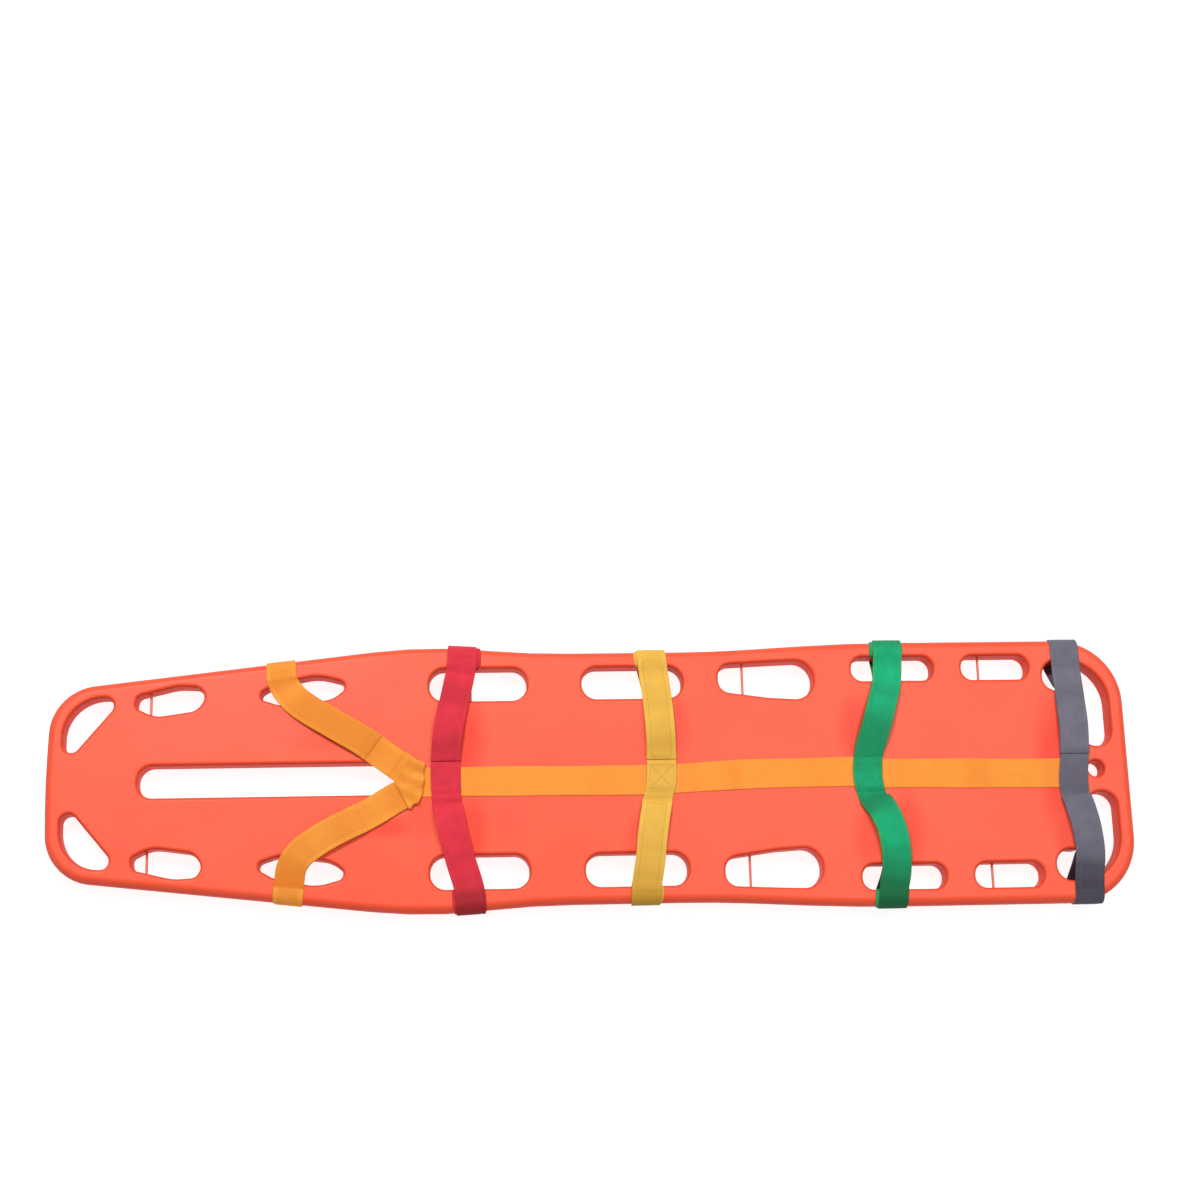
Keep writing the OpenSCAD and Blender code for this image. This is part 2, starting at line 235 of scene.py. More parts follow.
class Skin:
    """Vertices in millimetres, with faces and the true surface direction at each vertex."""

    def __init__(self):
        self.points = []
        self.normals = []
        self.faces = []

    def ring(self, loop, z, lift, way=1.0):
        """Adds a loop at height z. lift is how far the surface there leans up, in degrees."""
        start = len(self.points)
        c = math.cos(math.radians(lift)) * way
        s = math.sin(math.radians(lift))
        for p, d in loop:
            self.points.append(Vector((p.x, p.y, z)))
            self.normals.append(Vector((d.x * c, d.y * c, s)))
        return range(start, len(self.points))

    def join(self, low, high, inward=False):
        """Closes the wall between two loops. A hole's wall faces inward."""
        n = len(low)
        for i in range(n):
            j = (i + 1) % n
            quad = (low[i], low[j], high[j], high[i])
            self.faces.append(quad[::-1] if inward else quad)

    def face(self, loops, up):
        """Closes a flat face between loops, the first of which is the outer one."""
        index = [i for loop in loops for i in loop]
        edges, start = [], 0
        for loop in loops:
            n = len(loop)
            edges += [(start + k, start + (k + 1) % n) for k in range(n)]
            start += n
        flat = [self.points[i].to_2d() for i in index]
        _, _, tris, known, _, _ = delaunay_2d_cdt(flat, edges, [], 1, 1e-4)
        owner = [n for n, loop in enumerate(loops) for _ in loop]
        for tri in tris:
            own = {owner[known[k][0]] for k in tri}
            a, b, c = (index[known[k][0]] for k in tri)
            middle = (self.points[a] + self.points[b] + self.points[c]) / 3
            if len(own) == 1 and 0 not in own:
                hole = [self.points[i] for i in loops[own.pop()]]
                if inside(hole, middle):
                    continue
            n = (self.points[b] - self.points[a]).cross(self.points[c] - self.points[a])
            self.faces.append((a, b, c) if (n.z > 0) == up else (a, c, b))

    def build(self, name, material):
        """Makes the object, shaded by the directions given with its loops."""
        mesh = bpy.data.meshes.new(name)
        mesh.from_pydata([p * MM for p in self.points], [], self.faces)
        mesh.update()
        mesh.shade_smooth()
        mesh.normals_split_custom_set_from_vertices(self.normals)
        mesh.materials.append(material)
        return put(name, mesh)


def roll(reach, depth, step):
    """Height above the underside, distance in and lean of a quarter-round roll, bottom to wall."""
    out = []
    for d in range(0, 91, step):
        a = math.radians(d)
        lean = -math.degrees(math.atan2(math.cos(a) / depth, math.sin(a) / reach))
        out.append((BASE + depth * (1 - math.cos(a)), reach * (1 - math.sin(a)), lean))
    return out


def outline_levels():
    """Height, inset and lean of the slab's edge, with the fine bead where the mould's halves met."""
    mid = (BASE + DECK) / 2
    low = roll(EDGE_IN, EDGE_R, 9)
    bead = [(mid - 1.2, 0, 0), (mid - 0.5, -0.35, -30), (mid, -0.5, 0),
            (mid + 0.5, -0.35, 30), (mid + 1.2, 0, 0)]
    return low + bead + [(BASE + DECK - z, inset, -lean) for z, inset, lean in reversed(low)]


def mouth_levels():
    """Height, growth and lean of a hole's wall from the underside to the deck."""
    low = roll(MOUTH_IN, MOUTH_R, 15)
    return low + [(BASE + DECK - z, grow, -lean) for z, grow, lean in reversed(low)]


def shell_skin():
    """The shell's whole surface: outline, holes, runners, deck and underside."""
    skin = Skin()
    plan = [(x, -y, r) for x, y, r in SIDE] + list(reversed(SIDE)) + [HEAD_BOW]
    rings = [skin.ring(rounded(plan, -inset), z, lean) for z, inset, lean in outline_levels()]
    for low, high in zip(rings, rings[1:]):
        skin.join(low, high)
    under = [rings[0]]
    top = [rings[-1]]
    holes = [lambda g, c=c: rounded(c, g) for h in HOLES.values() for c in (h, mirrored(h))]
    holes.append(lambda g: rounded(CENTRE_SLOT, g))
    holes.append(lambda g: circle(HANG_X, HANG_R + g))
    for shape in holes:
        rings = [skin.ring(shape(g), z, lean, -1.0) for z, g, lean in mouth_levels()]
        for low, high in zip(rings, rings[1:]):
            skin.join(low, high, inward=True)
        under.append(rings[0])
        top.append(rings[-1])
    # height, growth and lean of a runner's side, from its fillet under the slab to its rounded foot
    runner_levels = [(BASE, 2.5, -90), (BASE - 0.7, 0.7, -45), (BASE - 2.5, 0, 0),
                     (4, 0, 0), (1.2, -1.2, -45), (0, -4, -90)]
    for shape in (RUNNER, mirrored(RUNNER)):
        rings = [skin.ring(rounded(shape, g), z, lean) for z, g, lean in runner_levels]
        for low, high in zip(rings, rings[1:]):
            skin.join(high, low)
        under.append(rings[0])
        skin.face([rings[-1]], up=False)
    skin.face(top, up=True)
    skin.face(under, up=False)
    return skin


# ---- straps ------------------------------------------------------------------------------------

def rise(p, i):
    """How fast X changes with Y at one point of a strap's middle line."""
    a, b = max(i - 1, 0), min(i + 1, len(p) - 1)
    return (p[b][0] - p[a][0]) / (p[b][1] - p[a][1])


def line_x(p, y):
    """X of a strap's middle line at Y, on a smooth curve through its points."""
    c = min(max(y, p[-1][1]), p[0][1])
    i = 0
    while i < len(p) - 2 and c < p[i + 1][1]:
        i += 1
    h = p[i + 1][1] - p[i][1]
    t = (c - p[i][1]) / h
    m, n, w = rise(p, i) * h, rise(p, i + 1) * h, p[i + 1][0] - p[i][0]
    return p[i][0] + m * t + (3 * w - 2 * m - n) * t * t + (m + n - 2 * w) * t ** 3


def slope(p, y):
    """How fast X changes with Y anywhere on a strap's middle line."""
    c = min(max(y, p[-1][1]), p[0][1])
    a, b = min(c + 1, p[0][1]), max(c - 1, p[-1][1])
    return (line_x(p, a) - line_x(p, b)) / (a - b)


def ease(t):
    """A smooth step from 0 to 1."""
    t = min(max(t, 0.0), 1.0)
    return t * t * (3 - 2 * t)


def softened(way, rounds=2):
    """Rounds off the corners of a way given as tuples, and keeps its ends."""
    for _ in range(rounds):
        out = [way[0]]
        for a, b in zip(way, way[1:]):
            out.append(tuple(0.75 * u + 0.25 * v for u, v in zip(a, b)))
            out.append(tuple(0.25 * u + 0.75 * v for u, v in zip(a, b)))
        out.append(way[-1])
        way = out
    return way


def spaced(way, gap):
    """Divides a way of (Y, Z, ...) so that no two neighbours are further apart than gap."""
    out = [way[0]]
    for a, b in zip(way, way[1:]):
        n = max(1, math.ceil(math.hypot(b[0] - a[0], b[1] - a[1]) / gap))
        out += [tuple(u + (v - u) * k / n for u, v in zip(a, b)) for k in range(1, n + 1)]
    return out


# Where a band's cross-section has its points, as shares of half its width: close together round the edges
# and on both sides of a row of stitches
SHARES = [-1, -0.985, -0.93, -0.8, -0.7, -0.67, -0.64, -0.45, -0.15,
          0.15, 0.45, 0.64, 0.67, 0.7, 0.8, 0.93, 0.985, 1]


def edge_thickness(share):
    """How much of the full thickness a band has there: less at its rounded edges."""
    return 0.45 if abs(share) == 1 else 0.85 if abs(share) > 0.98 else 1


class Ribbon:
    """A length of webbing: stations with a middle, a direction across and a width."""

    def __init__(self, stations, relief=None):
        """relief(s, u) raises the band a little at a distance along and across."""
        self.relief = relief or (lambda s, u: 0.0)
        self.mid = [Vector(s[0]) for s in stations]
        self.across = [Vector(s[1]).normalized() for s in stations]
        self.width = [s[2] for s in stations]
        n = len(stations)
        ahead = [(self.mid[min(i + 1, n - 1)] - self.mid[max(i - 1, 0)]).normalized() for i in range(n)]
        self.up = [self.across[i].cross(ahead[i]).normalized() for i in range(n)]
        self.run = [0.0]
        for a, b in zip(self.mid, self.mid[1:]):
            self.run.append(self.run[-1] + (b - a).length)

    def face_up(self, station):
        """Turns the band over if its upper face looks down at that station."""
        if self.up[station].z < 0:
            self.up = [-u for u in self.up]
        return self

    def at(self, s, u):
        """Place and surface direction at a distance along and across, on the upper face."""
        i = 0
        while i < len(self.run) - 2 and self.run[i + 1] < s:
            i += 1
        t = min(max((s - self.run[i]) / (self.run[i + 1] - self.run[i]), 0), 1)
        up = self.up[i].lerp(self.up[i + 1], t).normalized()
        across = self.across[i].lerp(self.across[i + 1], t).normalized()
        mid = self.mid[i].lerp(self.mid[i + 1], t)
        return mid + across * u + up * (WEB_T / 2 + self.relief(s, u)), up

    def where(self, y):
        """Distance along at which the middle line passes a given Y."""
        best = min(range(len(self.mid)), key=lambda i: abs(self.mid[i].y - y))
        return self.run[best]

    def build(self, name, material, thick=WEB_T, shade_by_y=None):
        """Makes the closed band, rounded at its edges, with a painted shade whose depth is given by Y."""
        points, uvs, faces, dark = [], [], [], []
        for i, mid in enumerate(self.mid):
            half = self.width[i] / 2
            dark += [along(shade_by_y, mid.y) if shade_by_y else 0.0] * 2 * len(SHARES)
            for face in (1, -1):
                for k in (SHARES if face > 0 else reversed(SHARES)):
                    deep = thick / 2 * edge_thickness(k)
                    lift = self.relief(self.run[i], k * half)
                    points.append(mid + self.across[i] * k * half + self.up[i] * (face * deep + lift))
                    uvs.append((k * half / WEB_W + 0.5, self.run[i] / WEB_W))
        m = 2 * len(SHARES)
        for i in range(len(self.mid) - 1):
            for k in range(m):
                j = (k + 1) % m
                faces.append((i * m + k, i * m + j, (i + 1) * m + j, (i + 1) * m + k))
        faces.append(tuple(range(m - 1, -1, -1)))
        faces.append(tuple((len(self.mid) - 1) * m + k for k in range(m)))
        mesh = bpy.data.meshes.new(name)
        mesh.from_pydata([p * MM for p in points], [], faces)
        if mesh.polygons[2].normal.dot(self.up[0]) < 0:
            mesh.flip_normals()
        layer = mesh.uv_layers.new(name="webbing")
        for loop in mesh.loops:
            layer.data[loop.index].uv = uvs[loop.vertex_index]
        mesh.attributes.new("fold_shade", "FLOAT", "POINT").data.foreach_set("value", dark)
        mesh.shade_smooth()
        mesh.materials.append(material)
        return put(name, mesh)


def way_round(w):
    """From the outside of the rail, under it and up through the hole, as a list of (distance out, Z,
    width, shift, tilt). A tilt of 1 lays the webbing along the rail, 0 square to its own line."""
    e, r = w.edge, EDGE_R + LAY
    drawn_in = WEB_W - 6
    outside = [(e + LAY, DECK - EDGE_R, drawn_in, 0.0, 1.0), (e + LAY, BASE + EDGE_R, drawn_in, 0.0, 1.0)]
    corner_below = [(e - EDGE_R + r * math.cos(a), BASE + EDGE_R - r * math.sin(a), drawn_in, 0.0, 1.0)
                    for a in (math.radians(d) for d in range(10, 90, 10))]
    return outside + corner_below + [
        (e - EDGE_R, BASE - LAY, drawn_in, 0.0, 1.0),
        (w.turn + 6, BASE - LAY, w.width, w.shift, 1.0),
        (w.turn + 1, BASE - LAY / 2, w.width, w.shift, 1.0),
        (w.turn - 2.5, BASE + 4, w.width, w.shift, 1.0),
        (w.mouth + 3, DECK - 5, w.width, w.shift, 1.0),
        (w.mouth - 2, DECK + 0.8, w.width, w.shift / 2, 0.8),
        (w.mouth - 8, DECK + WEB_T / 2, w.width + 4, 0.0, 0.0),
    ]


def stations(p, w, way, side):
    """Turns a way of (distance out, Z, width, shift, tilt) into stations on a strap's middle line."""
    out = []
    for d, z, wide, dx, tilt in way:
        y = side * d
        free = 1 if p in (SHOULDER_LEFT, SHOULDER_RIGHT) else square(y)
        lean = tilt * side * w.lean - (1 - tilt) * slope(p, y) * free
        out.append(((line_x(p, y) + dx, y, z), (1, lean, 0), wide))
    return out


def along(points, place):
    """A value that changes smoothly between (place, value) points, in either direction."""
    if (place - points[0][0]) * (points[-1][0] - points[0][0]) <= 0:
        return points[0][1]
    for a, b in zip(points, points[1:]):
        t = (place - a[0]) / (b[0] - a[0])
        if t <= 1:
            return a[1] + (b[1] - a[1]) * ease(t)
    return points[-1][1]


def square(y):
    """0 where a cross strap is sewn down parallel to the board's length, 1 where it is free to lean."""
    return ease((abs(y + 4) - 30) / 26)


def crossing_lift(x, y):
    """How far a cross strap is raised by the spine strap under it."""
    return WEB_T * (1 - ease((abs(y - along(SPINE, x)) - 27) / 9))


def hump(key, d):
    """Height of the loose arch that a strap makes between the crossing and its rail, at a distance out."""
    t = min(max((d - 40) / (WAYS[key].mouth - 46), 0.0), 1.0)
    return HUMPS[key] * math.sin(math.pi * t ** 0.8) ** 2


def box_lift(name, y):
    """The sewn box has a second layer folded in, so it stands a little proud."""
    high, low = BOXES[name]
    return 1.1 * ease((high + 1.5 - y) / 3) * ease((y - low + 1.5) / 3)


# ---- materials ---------------------------------------------------------------------------------

def linear(code):
    """An sRGB hex colour as linear values."""
    parts = [int(code[i:i + 2], 16) / 255 for i in (1, 3, 5)]
    return tuple(c / 12.92 if c <= 0.04045 else ((c + 0.055) / 1.055) ** 2.4 for c in parts) + (1.0,)


def per(mm):
    """The scale of a pattern that repeats every so many millimetres of the object."""
    return 1000 / mm


def add(tree, kind, settings=(), links=()):
    """Adds a shader node with its settings and links. A key is a property's name or an input's name or
    number, or "stops" for the two ends of a ramp, each a place and a colour."""
    item = tree.nodes.new("ShaderNode" + kind)
    for key, value in dict(settings).items():
        if key == "stops":
            for end, (place, code) in zip(item.color_ramp.elements, value):
                end.position = place
                end.color = linear(code)
        elif isinstance(key, str) and hasattr(item, key):
            setattr(item, key, value)
        else:
            item.inputs[key].default_value = value
    for key, source in dict(links).items():
        tree.links.new(source, item.inputs[key])
    return item


def fresh(name):
    """A new material and its empty node tree."""
    material = bpy.data.materials.new(name)
    material.use_nodes = True
    tree = material.node_tree
    tree.nodes.clear()
    return material, tree


def moulded_polyethylene():
    """Rotationally moulded polyethylene: waxy and even, with a soft shine and a faint orange peel
    from the mould wall, slightly cloudy in depth where the powder fused."""
    material, tree = fresh("moulded polyethylene, orange")
    place = add(tree, "TexCoord").outputs["Object"]
    # clouds of about 140 mm in the pigment
    cloud = add(tree, "TexNoise", {"Scale": per(143), "Detail": 3.0}, {"Vector": place}).outputs[0]
    colour = add(tree, "ValToRGB", {"stops": [(0.3, "#F65431"), (0.7, "#F85936")]}, {0: cloud}).outputs[0]
    # painted shadows on the deck beside the straps, deeper in colour
    shadow_spots = []
    for x, y, long, wide, share in STRAP_SHADOWS:
        spot = add(tree, "Mapping",
                   {"Location": (-x / long, -y / wide, 0), "Scale": (per(long), per(wide), 0)},
                   {"Vector": place}).outputs[0]
        away = add(tree, "VectorMath", {"operation": "LENGTH"}, {0: spot}).outputs["Value"]
        fading = {"interpolation_type": "SMOOTHSTEP", 1: 0.25, 2: 1.0, 3: share, 4: 0.0}
        shadow_spots.append(add(tree, "MapRange", fading, {0: away}).outputs[0])
    strap_shadow = shadow_spots[0]
    for shadow_spot in shadow_spots[1:]:
        strap_shadow = add(tree, "Math", {"operation": "MAXIMUM"}, {0: strap_shadow, 1: shadow_spot}).outputs[0]
    height = add(tree, "SeparateXYZ", links={0: place}).outputs[2]
    deck_only = add(tree, "MapRange", {1: 0.047, 2: 0.052}, {0: height}).outputs[0]
    strap_shadow = add(tree, "Math", {"operation": "MULTIPLY"}, {0: strap_shadow, 1: deck_only}).outputs[0]
    colour = add(tree, "Mix", {"data_type": "RGBA", 7: linear("#F0340E")},
                 {0: strap_shadow, 6: colour}).outputs[2]
    # steep walls and rolled edges get painted shade, deeper in colour, and are less shiny
    normal = add(tree, "NewGeometry").outputs["Normal"]
    facing = add(tree, "SeparateXYZ", links={0: normal}).outputs[2]
    level = add(tree, "Math", {"operation": "ABSOLUTE"}, {0: facing}).outputs[0]
    wall_shade = add(tree, "MapRange", {1: 0.97, 2: 0.3, 4: 0.6}, {0: level}).outputs[0]
    colour = add(tree, "Mix", {"data_type": "RGBA", 7: linear("#CE2406")}, {0: wall_shade, 6: colour}).outputs[2]
    shine = add(tree, "MapRange", {1: 0.3, 2: 0.97, 3: 0.08, 4: 0.4}, {0: level}).outputs[0]
    # orange peel of 2.5 mm, coarser than the real 1.5 mm so that it shows
    peel = add(tree, "TexNoise", {"Scale": per(2.5), "Detail": 2.0}, {"Vector": place}).outputs[0]
    dull = add(tree, "MapRange", {3: 0.40, 4: 0.52}, {0: peel}).outputs[0]
    # faint waves of about 60 mm where the wall shrank
    sink = add(tree, "TexNoise", {"Scale": per(62.5), "Detail": 1.0}, {"Vector": place}).outputs[0]
    waves = add(tree, "Bump", {"Strength": 0.25, "Distance": 0.002}, {"Height": sink}).outputs[0]
    fine = add(tree, "Bump", {"Strength": 0.18, "Distance": 0.0004}, {"Height": peel, "Normal": waves})
    shader = add(tree, "BsdfPrincipled",
                 {"IOR": 1.5, "Subsurface Weight": 0.04, "Subsurface Scale": 0.01,
                  "Subsurface Radius": (1.0, 0.3, 0.12)},
                 {"Base Color": colour, "Roughness": dull, "Normal": fine.outputs[0],
                  "Specular IOR Level": shine})
    add(tree, "OutputMaterial", links={"Surface": shader.outputs[0]})
    return material


def webbing(name, face, gap, deep, selvedge=None, pressed=0.0):
    """Plain-woven polypropylene webbing: dull, with bright yarn crowns and dark gaps between them.
    The real yarns are 1.3 mm apart; they are drawn 2 mm apart so that the weave shows. Painted shade
    makes it deeper in colour where it creases, arches and turns round the rails, and faint random
    bands make it slightly deeper along its length."""
    material, tree = fresh(name)
    # the band's own coordinates, in which 1 is the 50 mm width
    spot = add(tree, "UVMap", {"uv_map": "webbing"}).outputs[0]
    split = add(tree, "SeparateXYZ", links={0: spot})
    across, lengthwise = split.outputs[0], split.outputs[1]
    yarns = math.pi * WEB_W / YARN
    u = add(tree, "Math", {"operation": "MULTIPLY", 1: yarns}, {0: across}).outputs[0]
    v = add(tree, "Math", {"operation": "MULTIPLY", 1: yarns}, {0: lengthwise}).outputs[0]
    warp = add(tree, "Math", {"operation": "SINE"}, {0: u}).outputs[0]
    weft = add(tree, "Math", {"operation": "SINE"}, {0: v}).outputs[0]
    warp_crown = add(tree, "Math", {"operation": "ABSOLUTE"}, {0: warp}).outputs[0]
    weft_crown = add(tree, "Math", {"operation": "ABSOLUTE"}, {0: weft}).outputs[0]
    sign = add(tree, "Math", {"operation": "MULTIPLY"}, {0: warp, 1: weft}).outputs[0]
    over = add(tree, "MapRange", {1: -0.15, 2: 0.15}, {0: sign}).outputs[0]
    weave = add(tree, "Mix", links={0: over, 2: warp_crown, 3: weft_crown}).outputs[0]
    # mottling of about 23 mm in the dye
    mottle = add(tree, "TexNoise", {"Scale": WEB_W / 22.7, "Detail": 4.0}, {"Vector": spot}).outputs[0]
    tone = add(tree, "Math", {"operation": "MULTIPLY", 1: 0.55}, {0: mottle}).outputs[0]
    share = add(tree, "Math", {"operation": "MULTIPLY_ADD", 1: 0.45}, {0: weave, 2: tone}).outputs[0]
    colour = add(tree, "ValToRGB", {"stops": [(0.15, gap), (0.75, face)]}, {0: share}).outputs[0]
    off = add(tree, "Math", {"operation": "SUBTRACT", 1: 0.5}, {0: across}).outputs[0]
    out = add(tree, "Math", {"operation": "ABSOLUTE"}, {0: off}).outputs[0]
    if selvedge:
        # the outer 2 mm on each side is woven in another colour
        rim = add(tree, "MapRange", {1: 0.46, 2: 0.475}, {0: out}).outputs[0]
        colour = add(tree, "Mix", {"data_type": "RGBA", 7: linear(selvedge)},
                     {0: rim, 6: colour}).outputs[2]
    if pressed:
        # the stretch between the rows of stitches is pressed flat and a little darker
        inner = add(tree, "MapRange", {1: 0.345, 2: 0.325, 4: pressed}, {0: out}).outputs[0]
        colour = add(tree, "Mix", {"data_type": "RGBA", "blend_type": "MULTIPLY", 7: linear(gap)},
                     {0: inner, 6: colour}).outputs[2]
    # faint random bands of about 70 mm, and the painted shade of creases and arches that the band's own
    # shape carries
    place = add(tree, "Math", {"operation": "MULTIPLY", 1: WEB_W / 71.4}, {0: lengthwise}).outputs[0]
    bands = add(tree, "TexNoise", {"noise_dimensions": "1D", "Scale": 1.0, "Detail": 1.0}, {"W": place})
    banded = add(tree, "MapRange", {1: 0.5, 2: 0.75, 4: 0.3}, {0: bands.outputs[0]}).outputs[0]
    fold_shade = add(tree, "Attribute", {"attribute_name": "fold_shade"}).outputs["Fac"]
    dark = add(tree, "Math", {"operation": "MAXIMUM"}, {0: banded, 1: fold_shade}).outputs[0]
    colour = add(tree, "Mix", {"data_type": "RGBA", 7: linear(deep)}, {0: dark, 6: colour}).outputs[2]
    rough = add(tree, "Bump", {"Strength": 0.5, "Distance": 0.0005}, {"Height": weave}).outputs[0]
    shader = add(tree, "BsdfPrincipled",
                 {"IOR": 1.5, "Roughness": 0.75, "Sheen Weight": 0.05, "Sheen Roughness": 0.4,
                  "Specular IOR Level": 0.35},
                 {"Base Color": colour, "Normal": rough})
    add(tree, "OutputMaterial", links={"Surface": shader.outputs[0]})
    return material


def sewing_thread(name, code):
    """Twisted, bonded polyester thread: a slight shine on each twist, one every 0.7 mm."""
    material, tree = fresh(name)
    place = add(tree, "TexCoord").outputs["Object"]
    twist = add(tree, "TexNoise", {"Scale": per(0.67)}, {"Vector": place}).outputs[0]
    bump = add(tree, "Bump", {"Strength": 0.3, "Distance": 0.0002}, {"Height": twist}).outputs[0]
    shader = add(tree, "BsdfPrincipled", {"Base Color": linear(code), "IOR": 1.55, "Roughness": 0.5},
                 {"Normal": bump})
    add(tree, "OutputMaterial", links={"Surface": shader.outputs[0]})
    return material


def touch_tape(name, light, dark, grain, depth):
    """Woven nylon touch tape: rows of stiff hooks or a nap of fine loops, matt and grainy.
    The grain, in millimetres, is drawn about twice as coarse as it is so that it shows."""
    material, tree = fresh(name)
    place = add(tree, "TexCoord").outputs["Object"]
    dots = add(tree, "TexVoronoi", {"Scale": per(grain)}, {"Vector": place}).outputs[0]
    colour = add(tree, "ValToRGB", {"stops": [(0.1, light), (0.8, dark)]}, {0: dots}).outputs[0]
    bump = add(tree, "Bump", {"Strength": 0.8, "Distance": depth, "invert": True}, {"Height": dots})
    shader = add(tree, "BsdfPrincipled", {"IOR": 1.53, "Roughness": 0.8, "Sheen Weight": 0.2},
                 {"Base Color": colour, "Normal": bump.outputs[0]})
    add(tree, "OutputMaterial", links={"Surface": shader.outputs[0]})
    return material


def moulded_nylon():
    """Moulded nylon for the pins and the plug: close-grained and a little shinier than the shell."""
    material, tree = fresh("moulded nylon, orange")
    place = add(tree, "TexCoord").outputs["Object"]
    # grain of about 1 mm, coarser than the real one so that it shows
    grain = add(tree, "TexNoise", {"Scale": per(1.11), "Detail": 2.0}, {"Vector": place}).outputs[0]
    colour = add(tree, "ValToRGB", {"stops": [(0.3, "#DD6F52"), (0.7, "#E67C5E")]}, {0: grain}).outputs[0]
    bump = add(tree, "Bump", {"Strength": 0.2, "Distance": 0.0002}, {"Height": grain}).outputs[0]
    shader = add(tree, "BsdfPrincipled", {"IOR": 1.53, "Roughness": 0.36},
                 {"Base Color": colour, "Normal": bump})
    add(tree, "OutputMaterial", links={"Surface": shader.outputs[0]})
    return material


def rigid_foam():
    """Poured polyurethane foam: cream, dry and full of 1 mm cells."""
    material, tree = fresh("rigid foam")
    place = add(tree, "TexCoord").outputs["Object"]
    cells = add(tree, "TexVoronoi", {"Scale": per(1.11)}, {"Vector": place}).outputs[0]
    colour = add(tree, "ValToRGB", {"stops": [(0.1, "#EFE6C6"), (0.8, "#D8CBA2")]}, {0: cells}).outputs[0]
    bump = add(tree, "Bump", {"Strength": 0.6, "Distance": 0.0005}, {"Height": cells}).outputs[0]
    shader = add(tree, "BsdfPrincipled", {"IOR": 1.4, "Roughness": 0.9},
                 {"Base Color": colour, "Normal": bump})
    add(tree, "OutputMaterial", links={"Surface": shader.outputs[0]})
    return material


SHELL = moulded_polyethylene()
NYLON = moulded_nylon()
WEBS = {
    "shoulder": webbing("webbing, amber", "#F8A23A", "#E88C2A", "#DC7618", pressed=0.15),
    "spine": webbing("webbing, amber, spine strap", "#FC9A3A", "#F28C2A", "#EC7E20"),
    "chest": webbing("webbing, red", "#EE3147", "#C01C30", "#941018"),
    "hip": webbing("webbing, yellow", "#F2C052", "#DEAA3E", "#BA8A24", pressed=0.1),
    "thigh": webbing("webbing, green", "#02BA7E", "#008E58", "#005A2E", selvedge="#5AA04E"),
    "ankle": webbing("webbing, grey", "#797685", "#5D5966", "#403C48"),
}
THREADS = {
    "shoulder": sewing_thread("thread, amber", "#D27A22"),
    "chest": sewing_thread("thread, dark red", "#A81C2C"),
    "hip": sewing_thread("thread, ochre", "#A8701A"),
    "thigh": sewing_thread("thread, dark green", "#067A48"),
    "ankle": sewing_thread("thread, dark grey", "#625E6A"),
}
HOOK = touch_tape("hook tape, black", "#2C2C2E", "#131315", 1.43, 0.0006)
LOOP_COLOURS = {
    "shoulder": ("#D98A35", "#B06A1E"), "chest": ("#A32233", "#7C1522"), "hip": ("#CF992F", "#A87618"),
    "thigh": ("#128351", "#075C36"), "ankle": ("#5F5B68", "#45414D"),
}
LOOPS = {name: touch_tape("loop tape, " + name, nap, root, 0.91, 0.0004)
         for name, (nap, root) in LOOP_COLOURS.items()}


# ---- the board ---------------------------------------------------------------------------------

shell = shell_skin().build("spine board shell", SHELL)
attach(shell, "board")
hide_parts("board_shell")

# the foam core, the pins and the plug keep their CAD shape; every other node is replaced
for node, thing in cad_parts.items():
    thing.data.materials.clear()
    thing.data.materials.append(rigid_foam() if node == "foam_core" else NYLON)


# ---- the strap set -----------------------------------------------------------------------------

def seam(name, ribbon, runs, material, body):
    """Lays short stitches along runs of (distance along, distance across) on a ribbon's upper face."""
    pitch, half_thread, sunk, proud = 4.0, 0.55, 0.3, 0.45
    points, faces = [], []
    for a, b in runs:
        pa, pb = ribbon.at(*a)[0], ribbon.at(*b)[0]
        count = max(1, int((pb - pa).length / pitch))
        for k in range(count):
            spots = []
            for t in ((k + 0.1) / count, (k + 0.9) / count):
                spots.append(ribbon.at(a[0] + (b[0] - a[0]) * t, a[1] + (b[1] - a[1]) * t))
            (p, up), (q, _) = spots
            run = (q - p).normalized()
            wide = run.cross(up).normalized() * half_thread
            deep = up * sunk
            n = len(points)
            points += [p - wide - deep, p + wide - deep, q + wide - deep, q - wide - deep,
                       p.lerp(q, 0.15) + up * proud, p.lerp(q, 0.85) + up * proud]
            faces += [(n, n + 1, n + 2, n + 3), (n + 1, n, n + 4), (n + 3, n + 2, n + 5),
                      (n, n + 3, n + 5, n + 4), (n + 2, n + 1, n + 4, n + 5)]
    mesh = bpy.data.meshes.new(name)
    mesh.from_pydata([p * MM for p in points], [], faces)
    mesh.materials.append(material)
    mesh.shade_smooth()
    thing = put(name, mesh)
    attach(thing, body)


def quilted(depth, wave, seed):
    """Relief of webbing drawn down along two rows of stitches, with soft slack waves between."""
    def relief(s, u):
        row = math.exp(-((abs(u) - ROW) / 1.3) ** 2) * depth
        middle = wave * (math.sin(s / 17.0 + seed) * 0.6 + math.sin(s / 7.3 + 2 * seed + u / 30) * 0.4)
        edge = ease((abs(u) - 18) / 7) * wave * 0.8 * math.sin(s / 11.0 + seed + (1.5 if u > 0 else 0))
        return middle + edge - row
    return relief


def slack(wave, seed):
    """Relief of loose webbing with soft waves along it."""
    def relief(s, u):
        edge = ease((abs(u) - 15) / 10) * math.sin(s / 13.0 + seed + (1.7 if u > 0 else 0))
        return wave * (0.6 * math.sin(s / 23.0 + seed) + 0.3 * math.sin(s / 9.0 + 3 * seed) + 0.5 * edge)
    return relief


def steps_down(top, stop, step):
    """Numbers from top down to just above stop."""
    out = []
    while top > stop:
        out.append(top)
        top -= step
    return out


